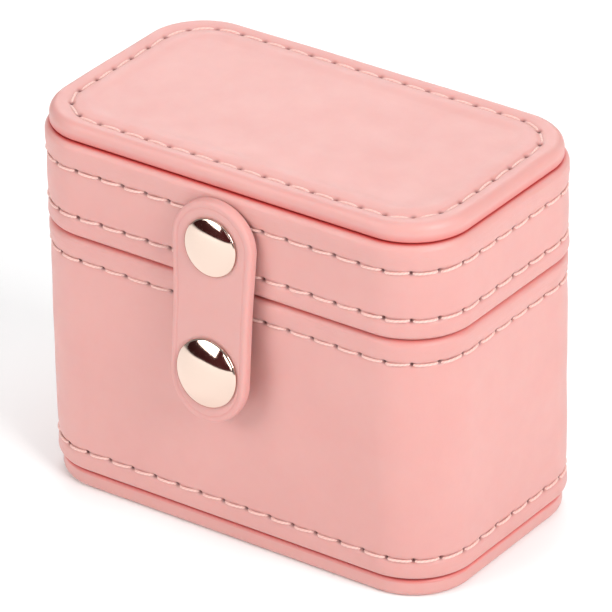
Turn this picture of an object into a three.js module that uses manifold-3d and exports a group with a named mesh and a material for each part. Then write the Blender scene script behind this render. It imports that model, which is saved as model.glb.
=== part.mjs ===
// A small jewellery case: a board box covered in stitched leather, with a hinged lid and a strap that
// closes on a press stud.
// Millimetres, +Z up. The origin is the middle of the underside, +X runs along the long side, and -Y
// is the front.
import * as THREE from "three";
import { mergeVertices } from "three/addons/utils/BufferGeometryUtils.js";
import Module from "manifold-3d";

const wasm = await Module();
wasm.setup();

// ---------- Driving dimensions ----------

// The outline of the base's side, seen from above. Every other outline lies a set distance inside it.
const WIDTH = 79;
const DEPTH = 45.5;
const CORNER_RADIUS = 11;
const CORNER_STEPS = 4; // half the number of facets round one corner

// Heights
const SOLE_TOP = 3.2;
const BASE_FOOT = 3.5;
const BASE_RIM = 46.3;
const LID_RIM = 46.5;
const LID_SHOULDER = 62.9;
const TOP_FOOT = 63.1;
const TOP_FACE = 65.8;
const COLLAR_TOP = 49.3; // the collar stands above the base's rim, and the lid drops over it

// Layers of the wall, from the outside in
const LEATHER = 1.4;
const GLUE_GAP = 0.1; // left between layers that are glued together
const BASE_BOARD = 2;
const COLLAR_BOARD = 1.2;
const LID_BOARD = 1.2;
const LINING = 0.5;
const LID_STEP = 0.15; // the lid's side stands this far outside the base's
const FLOOR_BOARD = 2;

// Panels
const SOLE_INSET = 0.7;
const TOP_INSET = 0.8;
const TOP_LONGER = 0.3; // the top panel reaches this much nearer to the lid's face at its two ends
const TOP_CORNER = 9.9;
const PANEL_EDGE = 1.2; // rounding of the sole's lower edge and the top panel's upper edge
const RIM_EDGE = 0.5; // rounding of the side bands' edges

// Sewing
const THREAD_WIDTH = 0.56;
const THREAD_DEPTH = 0.45;
const THREAD_PROUD = 0.1;
const GROOVE_SPARE = 0.12; // room left round the thread in its groove
const BASE_ROWS = { base_thread_lower: 7, base_thread_upper: 42.15 };
const LID_ROWS = { lid_thread_lower: 49.9, lid_thread_upper: 58.2 };
const TOP_ROW_INSET = 3.8;
const TOP_ROW_RADIUS = 8.3;

// Hinge: a strip of leather glued in between the leather and the boards, across the back seam
const HINGE_WIDTH = 54;
const HINGE_FOOT = 40.8;
const HINGE_HEAD = 51.8;
const HINGE_LEATHER = 0.6;

// Strap
const STRAP_WIDTH = 15;
const STRAP_LEATHER = 2;
const STRAP_HEAD = 62.1;
const STRAP_FOOT = 24.6;
const STRAP_FLEX = 48.2; // where the free part starts to bend
const STRAP_STANDOFF = 0.15; // from the lid's side at its head
const STRAP_LEAN = 3.1; // how much further it stands off at its foot
const STRAP_CURVE = 1.35; // power of the curve that it hangs in
const STRAP_STEPS = 10;
const FLEX_GAP = 0.3; // between the strap's fixed and free parts

// Press stud and rivet
const STUD_Z = 33;
const RIVET_Z = 54.4;
const STUD_CAP_RADIUS = 5.75;
const RIVET_CAP_RADIUS = 4.9;
const CAP_LIFT = 0.15; // clearance between a cap's rim and the strap
const SHANK_RADIUS = 1.4;
const HOLE_RADIUS = 1.7;
const WASHER_RADIUS = 4;
const WASHER_THICKNESS = 0.45;
const WASHER_POCKET = 0.8; // depth of the pocket for the washer in the back of the base's board
const RIVET_DOME = 1.5;
const STUD_DOME = 1.8;
const CAP_RIM = 0.45;
const SHANK_SPARE = 0.6; // how far a shank runs on past the last layer
const DRILL_LENGTH = 24;
const DRILL_SPARE = 1;
const ROUND_STEPS = 24;

// Fittings for jewellery
const DIVIDER_X = 8.2;
const DIVIDER_THICKNESS = 1.6;
const DIVIDER_TOP = 44;
const BLOCK_TOP = 27;
const ROLL_RADIUS = 6.4;
const ROLL_GAP = 0.4;
const FITTING_GAP = 0.5;
const PAD_THICKNESS = 3.2;

// ---------- Dimensions that follow ----------

const BASE_BOARD_INSET = LEATHER + GLUE_GAP;
const COLLAR_INSET = BASE_BOARD_INSET + BASE_BOARD + GLUE_GAP;
const BASE_LINING_INSET = COLLAR_INSET + COLLAR_BOARD + GLUE_GAP;
const WELL_INSET = BASE_LINING_INSET + LINING;
const LID_BOARD_INSET = LEATHER + GLUE_GAP - LID_STEP;
const LID_LINING_INSET = LID_BOARD_INSET + LID_BOARD + GLUE_GAP;
const LID_WELL_INSET = LID_LINING_INSET + LINING;
const BASE_BACK = DEPTH / 2;
const LID_FRONT = -DEPTH / 2 - LID_STEP;
const FLOOR_BOARD_TOP = BASE_FOOT + FLOOR_BOARD;
const FLOOR_LINING_FOOT = FLOOR_BOARD_TOP + GLUE_GAP;
const FLOOR_LINING_TOP = FLOOR_LINING_FOOT + 1;
const LID_BOARD_FOOT = LID_SHOULDER - FLOOR_BOARD;
const WELL_HALF_WIDTH = WIDTH / 2 - WELL_INSET;
const WELL_HALF_DEPTH = DEPTH / 2 - WELL_INSET;

// ---------- Materials ----------

const material = (color, roughness, metalness = 0) =>
  new THREE.MeshStandardMaterial({ color, roughness, metalness });

const pinkLeather = material(0xf0b0aa, 0.5);
const strapLeather = material(0xf3b5ad, 0.5);
const thread = material(0xfad3c8, 0.7);
const board = material(0xb9ab98, 0.9);
const lining = material(0xe9c9bf, 0.95);
const roseGold = material(0xf2d5c4, 0.2, 1);
const steel = material(0xc8c4c0, 0.35, 1);

// ---------- Geometry helpers ----------

// A rounded rectangle, `inset` inside the side of the base, and `longer` at both ends.
function outline(inset, radius = CORNER_RADIUS - inset, path = new THREE.Shape(), longer = 0) {
  const x = WIDTH / 2 - inset - radius + longer;
  const y = DEPTH / 2 - inset - radius;
  path.absarc(x, y, radius, 0, Math.PI / 2);
  path.absarc(-x, y, radius, Math.PI / 2, Math.PI);
  path.absarc(-x, -y, radius, Math.PI, 1.5 * Math.PI);
  path.absarc(x, -y, radius, 1.5 * Math.PI, 2 * Math.PI);
  return path;
}

// A shape raised from height `foot` to `head`, with its upper and lower edges rounded.
function raise(shape, foot, head, edge = 0) {
  return new THREE.ExtrudeGeometry(shape, {
    depth: head - foot - 2 * edge,
    curveSegments: CORNER_STEPS,
    bevelEnabled: edge > 0,
    bevelThickness: edge,
    bevelSize: edge,
    bevelOffset: -edge,
    bevelSegments: edge > RIM_EDGE ? 2 : 1,
  }).translate(0, 0, foot + edge);
}

const slab = (inset, foot, head, edge) => raise(outline(inset), foot, head, edge);

// A band that follows the outline, open above and below.
function band(outer, inner, foot, head, edge) {
  const shape = outline(outer);
  shape.holes.push(outline(inner, CORNER_RADIUS - inner, new THREE.Path()));
  return raise(shape, foot, head, edge);
}

// A block given by its lowest and highest corners.
function block(low, high) {
  const size = high.map((value, i) => value - low[i]);
  const centre = high.map((value, i) => (value + low[i]) / 2);
  return new THREE.BoxGeometry(...size).translate(...centre);
}

function solidOf(geometry) {
  const bare = geometry.clone();
  bare.deleteAttribute("normal");
  bare.deleteAttribute("uv");
  const merged = mergeVertices(bare, 1e-4);
  return new wasm.Manifold(
    new wasm.Mesh({
      numProp: 3,
      vertProperties: new Float32Array(merged.attributes.position.array),
      triVerts: new Uint32Array(merged.index.array),
    }),
  );
}

function geometryOf(solid) {
  const mesh = solid.getMesh();
  const geometry = new THREE.BufferGeometry();
  geometry.setAttribute("position", new THREE.BufferAttribute(mesh.vertProperties, 3));
  geometry.setIndex(new THREE.BufferAttribute(mesh.triVerts, 1));
  return geometry;
}

// `geometry` with every cutter taken out of it.
const carve = (geometry, ...cutters) =>
  geometryOf(cutters.reduce((solid, cutter) => solid.subtract(solidOf(cutter)), solidOf(geometry)));

// A turned piece. Its profile is a list of [radius, height], and its axis is +Y until it is placed.
const turn = (profile) =>
  new THREE.LatheGeometry(
    profile.map(([radius, height]) => new THREE.Vector2(radius, height)),
    ROUND_STEPS,
  );

// A drill through the front, along Y, at height z.
const frontDrill = (radius, z, near, far) =>
  new THREE.CylinderGeometry(radius, radius, far - near, ROUND_STEPS).translate(0, (near + far) / 2, z);

function add(group, name, geometry, finish) {
  const mesh = new THREE.Mesh(geometry, finish);
  mesh.name = name;
  group.add(mesh);
  return mesh;
}

// ---------- Thread ----------

// One row of thread round a side whose face lies `face` inside the outline.
const sideThread = (face, z) =>
  band(face - THREAD_PROUD, face + THREAD_DEPTH - THREAD_PROUD, z - THREAD_WIDTH / 2, z + THREAD_WIDTH / 2);

// The groove that such a row lies in.
const sideGroove = (face, z) =>
  band(
    face - 1,
    face + THREAD_DEPTH - THREAD_PROUD + GROOVE_SPARE,
    z - THREAD_WIDTH / 2 - GROOVE_SPARE,
    z + THREAD_WIDTH / 2 + GROOVE_SPARE,
  );

// A flat ring on the top panel, `spare` wider than the thread on each side.
function topRing(spare, foot, head) {
  const outer = TOP_ROW_INSET - THREAD_WIDTH / 2 - spare;
  const inner = TOP_ROW_INSET + THREAD_WIDTH / 2 + spare;
  const shape = outline(outer, TOP_ROW_RADIUS + THREAD_WIDTH / 2 + spare);
  shape.holes.push(outline(inner, TOP_ROW_RADIUS - THREAD_WIDTH / 2 - spare, new THREE.Path()));
  return raise(shape, foot, head);
}

// ---------- Strap ----------

// How far the strap's back stands in front of the lid's side at height z.
function standoff(z) {
  const drop = Math.max(0, STRAP_HEAD - z) / (STRAP_HEAD - STRAP_FOOT);
  return STRAP_STANDOFF + STRAP_LEAN * drop ** STRAP_CURVE;
}

const strapBack = (z) => LID_FRONT - standoff(z);
const strapFront = (z) => strapBack(z) - STRAP_LEATHER;

// The angle that the strap leans out by at height z.
const strapLean = (z) => Math.atan(standoff(z - 0.5) - standoff(z + 0.5));

// A length of strap from height `foot` to `head`: its side view, cut to the tab's outline.
function strap(foot, head, ...cutters) {
  const heights = Array.from(
    { length: STRAP_STEPS + 1 },
    (_, i) => foot + ((head - foot) * i) / STRAP_STEPS,
  );
  const side = new THREE.Shape([
    ...heights.map((z) => new THREE.Vector2(strapFront(z), z)),
    ...heights.toReversed().map((z) => new THREE.Vector2(strapBack(z), z)),
  ]);
  const sideways = new THREE.Matrix4().makeBasis(
    new THREE.Vector3(0, 1, 0),
    new THREE.Vector3(0, 0, 1),
    new THREE.Vector3(1, 0, 0),
  );
  const length = new THREE.ExtrudeGeometry(side, { depth: STRAP_WIDTH, bevelEnabled: false })
    .translate(0, 0, -STRAP_WIDTH / 2)
    .applyMatrix4(sideways);
  const radius = STRAP_WIDTH / 2;
  const tab = new THREE.Shape();
  tab.absarc(0, STRAP_HEAD - radius, radius, 0, Math.PI);
  tab.absarc(0, STRAP_FOOT + radius, radius, Math.PI, 2 * Math.PI);
  const cut = new THREE.ExtrudeGeometry(tab, {
    depth: DEPTH,
    bevelEnabled: false,
    curveSegments: STRAP_STEPS,
  }).rotateX(Math.PI / 2);
  const solid = cutters.reduce(
    (left, cutter) => left.subtract(solidOf(cutter)),
    solidOf(length).intersect(solidOf(cut)),
  );
  return geometryOf(solid);
}

// ---------- Press stud and rivet ----------

// A shallow dome with a rolled rim and a shank down its middle.
function cap(radius, dome, shankLength) {
  const profile = [
    [0, -shankLength],
    [SHANK_RADIUS, -shankLength],
    [SHANK_RADIUS, 0],
    [radius - CAP_RIM, 0],
    [radius, CAP_RIM],
  ];
  const rings = 4;
  for (let i = 1; i < rings; i++) {
    const angle = (i / rings) * (Math.PI / 2);
    profile.push([radius * Math.cos(angle), CAP_RIM + (dome - CAP_RIM) * Math.sin(angle)]);
  }
  profile.push([0, dome]);
  return turn(profile);
}

// A group on the strap's front at height z, whose +Y points straight out of the leather.
function onStrap(z) {
  const seat = new THREE.Group();
  seat.position.set(0, strapFront(z), z);
  seat.rotation.x = Math.PI - strapLean(z);
  return seat;
}

// A drill for a shank, square to the strap at height z.
function strapDrill(z) {
  const seat = onStrap(z);
  seat.updateMatrixWorld(true);
  const drill = new THREE.CylinderGeometry(HOLE_RADIUS, HOLE_RADIUS, DRILL_LENGTH, ROUND_STEPS);
  return drill.applyMatrix4(seat.matrixWorld);
}

// ---------- Hinge ----------

// The hinge strip, or with `spare` the pocket that it lies in.
const hingeBlock = (spare, depth = 0) =>
  block(
    [-HINGE_WIDTH / 2 - spare, BASE_BACK - LEATHER - depth, HINGE_FOOT - spare],
    [HINGE_WIDTH / 2 + spare, BASE_BACK - LEATHER + HINGE_LEATHER + spare, HINGE_HEAD + spare],
  );

const hingePocket = hingeBlock(GROOVE_SPARE, 1);

// ---------- Base ----------

function makeBase() {
  const base = new THREE.Group();
  const boardBack = -DEPTH / 2 + COLLAR_INSET;
  const studDrill = frontDrill(HOLE_RADIUS, STUD_Z, -DEPTH / 2 - DRILL_SPARE, boardBack);
  const washerPocket = frontDrill(
    WASHER_RADIUS + GROOVE_SPARE,
    STUD_Z,
    boardBack - GLUE_GAP - WASHER_POCKET,
    boardBack,
  );

  add(base, "sole_panel", slab(SOLE_INSET, 0, SOLE_TOP, PANEL_EDGE), pinkLeather);
  add(base, "base_floor_board", slab(COLLAR_INSET, BASE_FOOT, FLOOR_BOARD_TOP), board);
  add(
    base,
    "base_wall_board",
    carve(
      band(BASE_BOARD_INSET, BASE_BOARD_INSET + BASE_BOARD, BASE_FOOT, BASE_RIM - RIM_EDGE),
      studDrill,
      washerPocket,
    ),
    board,
  );
  add(
    base,
    "base_side_leather",
    carve(
      band(0, LEATHER, BASE_FOOT, BASE_RIM, RIM_EDGE),
      hingePocket,
      studDrill,
      ...Object.values(BASE_ROWS).map((z) => sideGroove(0, z)),
    ),
    pinkLeather,
  );
  for (const [name, z] of Object.entries(BASE_ROWS)) add(base, name, sideThread(0, z), thread);

  add(
    base,
    "collar_board",
    band(COLLAR_INSET, COLLAR_INSET + COLLAR_BOARD, FLOOR_LINING_FOOT, COLLAR_TOP),
    board,
  );
  add(
    base,
    "collar_lining",
    band(BASE_LINING_INSET, WELL_INSET, FLOOR_LINING_TOP + GLUE_GAP, COLLAR_TOP),
    lining,
  );
  add(base, "floor_lining", slab(BASE_LINING_INSET, FLOOR_LINING_FOOT, FLOOR_LINING_TOP), lining);
  add(base, "hinge_strip", hingeBlock(0), pinkLeather);
  return base;
}

// A foam block with rolls across it, which rings stand between, and a divider beside it.
function addFittings(base) {
  const left = -WELL_HALF_WIDTH + FITTING_GAP;
  const right = DIVIDER_X - DIVIDER_THICKNESS / 2 - FITTING_GAP;
  const front = -WELL_HALF_DEPTH + FITTING_GAP;
  const back = WELL_HALF_DEPTH - FITTING_GAP;
  const foot = FLOOR_LINING_TOP + GLUE_GAP;
  const well = solidOf(slab(WELL_INSET + FITTING_GAP, foot, BASE_RIM));
  const fitted = (geometry) => geometryOf(solidOf(geometry).intersect(well));
  add(base, "ring_block", fitted(block([left - 1, front - 1, foot], [right, back + 1, BLOCK_TOP])), lining);
  add(
    base,
    "divider",
    block(
      [DIVIDER_X - DIVIDER_THICKNESS / 2, front, foot],
      [DIVIDER_X + DIVIDER_THICKNESS / 2, back, DIVIDER_TOP],
    ),
    lining,
  );

  const pitch = 2 * ROLL_RADIUS + ROLL_GAP;
  const middle = (left + right) / 2;
  const edge = 1.2;
  const profile = [
    [0, -back],
    [ROLL_RADIUS - edge, -back],
    [ROLL_RADIUS, -back + edge],
    [ROLL_RADIUS, back - edge],
    [ROLL_RADIUS - edge, back],
    [0, back],
  ];
  for (const i of [-1, 0, 1]) {
    const roll = turn(profile).translate(middle + i * pitch, 0, BLOCK_TOP + ROLL_GAP + ROLL_RADIUS);
    add(base, `ring_roll_${i + 2}`, fitted(roll), lining);
  }
}

// The press stud's lower half, in the base's front.
function addStud(base) {
  const flange = 4.4;
  const nub = 2.5;
  const seat = new THREE.Group();
  seat.position.set(0, -DEPTH / 2, STUD_Z);
  seat.rotation.x = Math.PI;
  base.add(seat);
  const head = 0.1;
  const tail = -BASE_BOARD_INSET - BASE_BOARD + 0.15;
  add(
    seat,
    "stud",
    turn([
      [0, tail],
      [SHANK_RADIUS, tail],
      [SHANK_RADIUS, head],
      [flange, head],
      [flange, head + 0.15],
      [nub + 0.5, head + 0.25],
      [nub - 0.3, head + 0.55],
      [nub, head + 1.05],
      [nub - 0.7, head + 1.4],
      [0, head + 1.5],
    ]),
    roseGold,
  );
  add(
    seat,
    "stud_washer",
    turn([
      [HOLE_RADIUS, tail],
      [WASHER_RADIUS, tail],
      [WASHER_RADIUS, tail + WASHER_THICKNESS],
      [HOLE_RADIUS, tail + WASHER_THICKNESS],
      [HOLE_RADIUS, tail],
    ]),
    steel,
  );
}

// ---------- Lid ----------

function makeLid() {
  const lid = new THREE.Group();
  const rivetDrill = strapDrill(RIVET_Z);
  add(
    lid,
    "lid_side_leather",
    carve(
      band(-LID_STEP, LEATHER - LID_STEP, LID_RIM, LID_SHOULDER, RIM_EDGE),
      hingePocket,
      rivetDrill,
      ...Object.values(LID_ROWS).map((z) => sideGroove(-LID_STEP, z)),
    ),
    pinkLeather,
  );
  for (const [name, z] of Object.entries(LID_ROWS)) add(lid, name, sideThread(-LID_STEP, z), thread);
  add(
    lid,
    "lid_wall_board",
    carve(
      band(LID_BOARD_INSET, LID_BOARD_INSET + LID_BOARD, LID_RIM + RIM_EDGE, LID_SHOULDER),
      hingePocket,
      rivetDrill,
    ),
    board,
  );
  add(
    lid,
    "lid_side_lining",
    carve(
      band(LID_LINING_INSET, LID_WELL_INSET, LID_RIM + RIM_EDGE, LID_BOARD_FOOT - GLUE_GAP),
      rivetDrill,
    ),
    lining,
  );
  add(lid, "lid_top_board", slab(LID_LINING_INSET, LID_BOARD_FOOT, LID_SHOULDER), board);
  const padTop = LID_BOARD_FOOT - GLUE_GAP;
  add(
    lid,
    "lid_pad",
    slab(LID_WELL_INSET + FITTING_GAP, padTop - PAD_THICKNESS, padTop, PANEL_EDGE),
    lining,
  );

  const grooveFloor = TOP_FACE + THREAD_PROUD - THREAD_DEPTH - GROOVE_SPARE;
  const topGroove = topRing(GROOVE_SPARE, grooveFloor, TOP_FACE + 1);
  const topOutline = outline(TOP_INSET, TOP_CORNER, new THREE.Shape(), TOP_LONGER);
  const topSlab = raise(topOutline, TOP_FOOT, TOP_FACE, PANEL_EDGE);
  add(lid, "top_panel", carve(topSlab, topGroove), pinkLeather);
  add(
    lid,
    "top_thread",
    topRing(0, TOP_FACE + THREAD_PROUD - THREAD_DEPTH, TOP_FACE + THREAD_PROUD),
    thread,
  );
  return lid;
}

// The strap's head, held to the lid by the rivet.
function addStrapHead(lid) {
  add(lid, "strap_head", strap(STRAP_FLEX + FLEX_GAP / 2, STRAP_HEAD, strapDrill(RIVET_Z)), strapLeather);
  const seat = onStrap(RIVET_Z);
  lid.add(seat);
  const throughLid = LID_WELL_INSET + LID_STEP;
  const shankLength = STRAP_LEATHER + standoff(RIVET_Z) + throughLid + SHANK_SPARE;
  const rivetCap = cap(RIVET_CAP_RADIUS, RIVET_DOME, shankLength).translate(0, CAP_LIFT, 0);
  add(seat, "rivet_cap", rivetCap, roseGold);
  const face = -STRAP_LEATHER - standoff(RIVET_Z) - throughLid - 0.4;
  add(
    seat,
    "rivet_back",
    turn([
      [HOLE_RADIUS, face - 0.7],
      [WASHER_RADIUS - 0.3, face - 0.7],
      [WASHER_RADIUS - 0.1, face],
      [HOLE_RADIUS, face],
      [HOLE_RADIUS, face - 0.7],
    ]),
    roseGold,
  );
}

// ---------- Strap's free end ----------

function makeFlap() {
  const flap = new THREE.Group();
  add(flap, "strap_flap", strap(STRAP_FOOT, STRAP_FLEX - FLEX_GAP / 2, strapDrill(STUD_Z)), strapLeather);
  const seat = onStrap(STUD_Z);
  flap.add(seat);
  const shankLength = STRAP_LEATHER + SHANK_SPARE;
  const snapCap = cap(STUD_CAP_RADIUS, STUD_DOME, shankLength).translate(0, CAP_LIFT, 0);
  add(seat, "snap_cap", snapCap, roseGold);
  const back = -STRAP_LEATHER - GLUE_GAP;
  const plate = back - 0.5;
  const mouth = back - 1.45;
  add(
    seat,
    "snap_socket",
    turn([
      [HOLE_RADIUS, plate],
      [3.1, plate],
      [3.1, mouth],
      [3.8, mouth],
      [4.8, back - 0.6],
      [4.8, back],
      [HOLE_RADIUS, back],
      [HOLE_RADIUS, plate],
    ]),
    roseGold,
  );
  return flap;
}

// ---------- Assembly ----------

const jewelleryCase = new THREE.Group();
const base = makeBase();
addFittings(base);
addStud(base);
const lid = makeLid();
addStrapHead(lid);
jewelleryCase.add(base, lid, makeFlap());

export default jewelleryCase;
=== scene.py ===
# %% [markdown]
# # A stitched leather jewellery case
# The case is a board box covered in smooth pink leather. A lid drops over a velvet collar and is held by
# a strap with a rivet above and a press stud below. The frame gives every size and joint, and the cells
# below give the leather, thread, velvet and metal their shapes and finishes, one piece at a time.

# %% Load the frame
import math

import bmesh
import bpy
import numpy as np
from mathutils import Matrix, Vector


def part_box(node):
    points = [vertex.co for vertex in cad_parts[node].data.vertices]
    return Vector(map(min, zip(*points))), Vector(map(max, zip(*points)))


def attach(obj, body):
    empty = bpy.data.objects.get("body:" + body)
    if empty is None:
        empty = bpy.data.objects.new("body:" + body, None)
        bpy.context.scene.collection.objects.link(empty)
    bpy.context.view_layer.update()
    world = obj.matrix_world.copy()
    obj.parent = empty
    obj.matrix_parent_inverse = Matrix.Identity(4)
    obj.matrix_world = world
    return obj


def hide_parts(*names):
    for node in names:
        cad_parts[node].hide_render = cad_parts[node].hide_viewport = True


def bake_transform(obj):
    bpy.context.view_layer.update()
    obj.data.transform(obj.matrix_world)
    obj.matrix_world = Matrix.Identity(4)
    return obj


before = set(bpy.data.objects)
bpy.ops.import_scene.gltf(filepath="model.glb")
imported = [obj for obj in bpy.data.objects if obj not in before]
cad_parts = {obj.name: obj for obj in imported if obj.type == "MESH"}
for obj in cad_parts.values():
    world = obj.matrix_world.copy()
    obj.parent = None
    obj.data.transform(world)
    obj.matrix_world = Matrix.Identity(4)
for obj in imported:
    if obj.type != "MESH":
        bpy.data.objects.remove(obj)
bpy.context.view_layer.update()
MM = 0.001

# %% [markdown]
# Every height and width comes from the frame. The base's leather gives the plan of the case: a rectangle
# with round corners, centred on the origin. All other outlines are set in or out from it, so a piece is
# described by how far out of that face it lies and how high it stands.

# %% Read the driving sizes
def span(node):
    """The lowest and highest corner of a node, in millimetres."""
    low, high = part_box(node)
    return np.array(low) / MM, np.array(high) / MM


base_low, base_high = span("base_side_leather")
lid_low, lid_high = span("lid_side_leather")
sole_low, sole_high = span("sole_panel")
top_low, top_high = span("top_panel")
HALF_WIDTH = base_high[0]
HALF_DEPTH = base_high[1]
CORNER = 11.0
LID_OUT = lid_high[0] - HALF_WIDTH
ROW_HEIGHTS = {
    name: sum(span(name)[i][2] for i in (0, 1)) / 2
    for name in ("base_thread_lower", "base_thread_upper", "lid_thread_lower", "lid_thread_upper")
}
print("plan", 2 * HALF_WIDTH, "x", 2 * HALF_DEPTH, "mm, lid stands out", round(LID_OUT, 2))


# %% [markdown]
# ## The camera
# A long lens a metre away keeps the edges of a small box almost parallel. The camera is placed by its
# direction and distance from the case, because a turn or a height is easier to judge than a position.

# %% Camera
CAMERA_AZIMUTH = math.radians(36.03)
CAMERA_ELEVATION = math.radians(28.96)
CAMERA_ROLL = math.radians(-1.04)
CAMERA_DISTANCE = 0.9777
CAMERA_TARGET = Vector((0, 0, 0.032))
CAMERA_LENS = 360.8
CAMERA_SHIFT = (-0.0039, 0.0039)
NEAR_CLIP = 0.01


def place_camera():
    back = Vector((
        math.sin(CAMERA_AZIMUTH) * math.cos(CAMERA_ELEVATION),
        -math.cos(CAMERA_AZIMUTH) * math.cos(CAMERA_ELEVATION),
        math.sin(CAMERA_ELEVATION),
    ))
    level = Vector((math.cos(CAMERA_AZIMUTH), math.sin(CAMERA_AZIMUTH), 0))
    right = Matrix.Rotation(CAMERA_ROLL, 3, back) @ level
    up = back.cross(right)
    data = bpy.data.cameras.new("camera")
    data.lens = CAMERA_LENS
    data.shift_x, data.shift_y = CAMERA_SHIFT
    data.clip_start = NEAR_CLIP
    camera = bpy.data.objects.new("camera", data)
    camera.matrix_world = Matrix.Translation(CAMERA_TARGET + back * CAMERA_DISTANCE) @ Matrix(
        (right, up, back)
    ).transposed().to_4x4()
    bpy.context.scene.collection.objects.link(camera)
    bpy.context.scene.camera = camera
    return right, up


camera_right, camera_up = place_camera()
print("camera right", [round(v, 4) for v in camera_right], "up", [round(v, 4) for v in camera_up])


# %% [markdown]
# ## The light
# A product table has a big soft key at the front left and a bright panel high on the right. Here a sheet of
# light overhead and one behind keep the top and the back from going dull. The narrow strip is there for the
# caps: polished metal only looks like metal when it mirrors something bright beside something dark.

# %% Lights
def soft_light(name, place, size, power, colour=(1, 1, 1), roll=0.0):
    """A softbox that faces the case, turned by `roll` degrees in its own plane."""
    data = bpy.data.lights.new(name, "AREA")
    data.shape = "RECTANGLE"
    data.size, data.size_y = size
    data.energy = power
    data.color = colour
    light = bpy.data.objects.new(name, data)
    light.location = place
    facing = (Vector(place) - CAMERA_TARGET).to_track_quat("Z", "Y").to_matrix()
    light.rotation_euler = (facing @ Matrix.Rotation(math.radians(roll), 3, "Z")).to_euler()
    bpy.context.scene.collection.objects.link(light)


soft_light("key", (-0.36, -0.67, 0.43), (0.56, 0.42), 3.75, (1.0, 0.99, 0.975), roll=-9)
soft_light("right_front", (0.86, -0.20, 0.62), (0.55, 0.60), 10.1, (1.0, 0.99, 0.98))
soft_light("overhead", (0.0, 0.15, 1.1), (0.80, 0.80), 3.9, (1.0, 0.99, 1.0))
soft_light("back_left", (-0.52, 0.72, 0.50), (0.70, 0.50), 3.0)
soft_light("strip", (0.105, -0.79, 0.18), (0.36, 0.034), 0.25, roll=-52)

world = bpy.data.worlds.new("studio")
world.use_nodes = True
background = world.node_tree.nodes["Background"].inputs
background["Color"].default_value = (1.0, 0.97, 0.96, 1)
background["Strength"].default_value = 0.30
bpy.context.scene.world = world
bpy.context.scene.view_settings.view_transform = "Standard"
print("lights", {light.name: round(light.energy, 2) for light in bpy.data.lights})


# %% [markdown]
# ## Material helpers
# Each finish is one Principled shader. A colour or roughness that never changes is set straight on its
# socket. Grain, pile and twist are patterns in the piece's own coordinates, so that they stay on the piece
# when it moves.

# %% Node helpers
class Finish:
    """A material with a Principled shader, and short ways to add nodes to it."""

    def __init__(self, name, **values):
        self.material = bpy.data.materials.new(name)
        self.material.use_nodes = True
        self.tree = self.material.node_tree
        self.shader = self.tree.nodes["Principled BSDF"]
        for socket, value in values.items():
            self.shader.inputs[socket.replace("_", " ")].default_value = value
        self.place = self.node("ShaderNodeTexCoord").outputs["Object"]

    def node(self, kind, inputs=None, **settings):
        node = self.tree.nodes.new(kind)
        for key, value in settings.items():
            setattr(node, key, value)
        for key, value in (inputs or {}).items():
            self.feed(node.inputs[key], value)
        return node

    def feed(self, socket, value):
        if isinstance(value, bpy.types.NodeSocket):
            self.tree.links.new(value, socket)
        else:
            socket.default_value = value

    def noise(self, scale, detail=4.0, roughness=0.55, vector=None):
        inputs = {"Vector": vector or self.place, "Scale": scale, "Detail": detail, "Roughness": roughness}
        return self.node("ShaderNodeTexNoise", inputs).outputs["Fac"]

    def attribute(self, name):
        return self.node("ShaderNodeAttribute", attribute_name=name).outputs["Fac"]

    def maths(self, operation, a, b=0.0):
        return self.node("ShaderNodeMath", {0: a, 1: b}, operation=operation).outputs[0]

    def fit(self, value, low, high, to_low, to_high):
        inputs = {"Value": value, "From Min": low, "From Max": high, "To Min": to_low, "To Max": to_high}
        return self.node("ShaderNodeMapRange", inputs).outputs["Result"]

    def mix(self, factor, a, b):
        node = self.node("ShaderNodeMix", data_type="RGBA")
        self.feed(node.inputs["Factor"], factor)
        for socket, value in zip([s for s in node.inputs if s.type == "RGBA"], (a, b)):
            self.feed(socket, value)
        return next(s for s in node.outputs if s.type == "RGBA")

    def bump(self, height, strength, distance, after=None):
        inputs = {"Height": height, "Strength": strength, "Distance": distance}
        if after:
            inputs["Normal"] = after
        return self.node("ShaderNodeBump", inputs).outputs["Normal"]

    def wire(self, **sockets):
        for name, value in sockets.items():
            self.feed(self.shader.inputs[name.replace("_", " ")], value)
        return self.material


# %% [markdown]
# ## Coated leather
# The case is covered in a smooth coated leather with a satin shine. Its grain is a net of tiny cells that
# only shows in the highlight, so it is a shallow bump. The colour drifts a little from place to place.
# Where the skin turns into a seam or a needle hole it gets no light, so painted shade darkens its colour
# there, as a painted attribute on each piece says.

# %% Leather
# The seam colour below is painted shade for the seams' grooves, and the hole colour is painted shade for the
# needle holes.
SEAM_SHADE_RED = (0.60, 0.060, 0.054, 1)
HOLE_SHADE_RED = (0.09, 0.012, 0.012, 1)


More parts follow.
